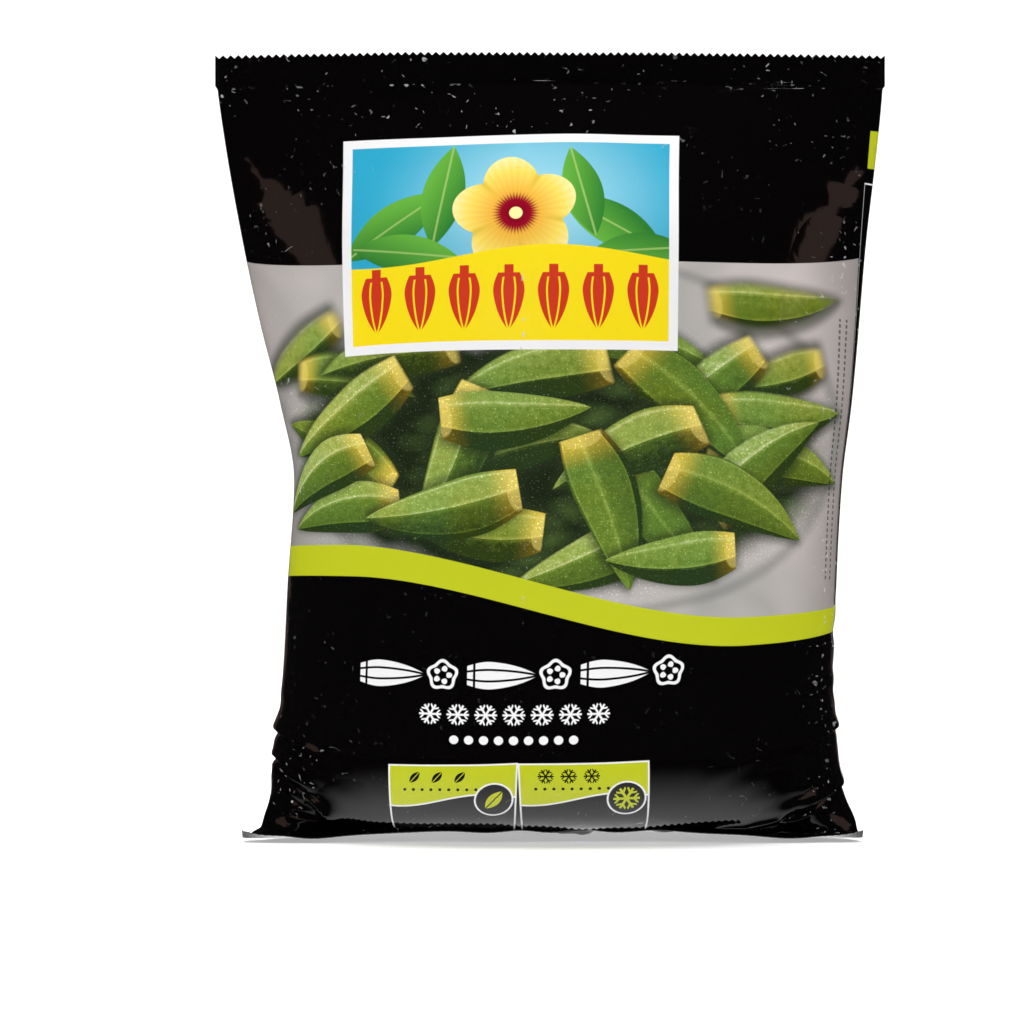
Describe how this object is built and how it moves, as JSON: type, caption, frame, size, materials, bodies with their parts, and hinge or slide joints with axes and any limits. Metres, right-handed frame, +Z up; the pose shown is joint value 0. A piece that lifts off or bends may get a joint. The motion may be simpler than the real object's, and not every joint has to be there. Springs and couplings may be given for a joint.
{
  "type": "bag of frozen okra",
  "caption": "Pillow bag of glossy printed film with crimped top and bottom seals and a back fin seam, standing full of loose frozen okra pods.",
  "frame": {"origin": "centre of the bag's footprint on the floor, midway between its furthest points in X and in Y", "axes": "+Z up along the bag's height; the printed front faces -Y and the fin seam is on +Y; +X is to the right seen from the front"},
  "size_m": [0.22, 0.0886, 0.258],
  "materials": {
    "printed_film": "glossy printed polyethylene film, black with a picture band, a lime stripe and a bordered label",
    "okra_skin": "frosted green okra skin, yellower at the trimmed stem end"
  },
  "bodies": {
    "root": {"film_bag": "printed_film", "okra_pod_01": "okra_skin", "okra_pod_02": "okra_skin", "okra_pod_03": "okra_skin", "okra_pod_04": "okra_skin", "okra_pod_05": "okra_skin", "okra_pod_06": "okra_skin", "okra_pod_07": "okra_skin", "okra_pod_08": "okra_skin", "okra_pod_09": "okra_skin", "okra_pod_10": "okra_skin", "okra_pod_11": "okra_skin", "okra_pod_12": "okra_skin", "okra_pod_13": "okra_skin", "okra_pod_14": "okra_skin", "okra_pod_15": "okra_skin", "okra_pod_16": "okra_skin", "okra_pod_17": "okra_skin", "okra_pod_18": "okra_skin", "okra_pod_19": "okra_skin", "okra_pod_20": "okra_skin", "okra_pod_21": "okra_skin", "okra_pod_22": "okra_skin", "okra_pod_23": "okra_skin", "okra_pod_24": "okra_skin", "okra_pod_25": "okra_skin", "okra_pod_26": "okra_skin", "okra_pod_27": "okra_skin", "okra_pod_28": "okra_skin", "okra_pod_29": "okra_skin", "okra_pod_30": "okra_skin", "okra_pod_31": "okra_skin", "okra_pod_32": "okra_skin", "okra_pod_33": "okra_skin", "okra_pod_34": "okra_skin", "okra_pod_35": "okra_skin", "okra_pod_36": "okra_skin", "okra_pod_37": "okra_skin", "okra_pod_38": "okra_skin", "okra_pod_39": "okra_skin", "okra_pod_40": "okra_skin", "okra_pod_41": "okra_skin", "okra_pod_42": "okra_skin", "okra_pod_43": "okra_skin", "okra_pod_44": "okra_skin", "okra_pod_45": "okra_skin", "okra_pod_46": "okra_skin", "okra_pod_47": "okra_skin", "okra_pod_48": "okra_skin", "okra_pod_49": "okra_skin", "okra_pod_50": "okra_skin", "okra_pod_51": "okra_skin", "okra_pod_52": "okra_skin", "okra_pod_53": "okra_skin", "okra_pod_54": "okra_skin", "okra_pod_55": "okra_skin", "okra_pod_56": "okra_skin"}
  },
  "joints": []
}
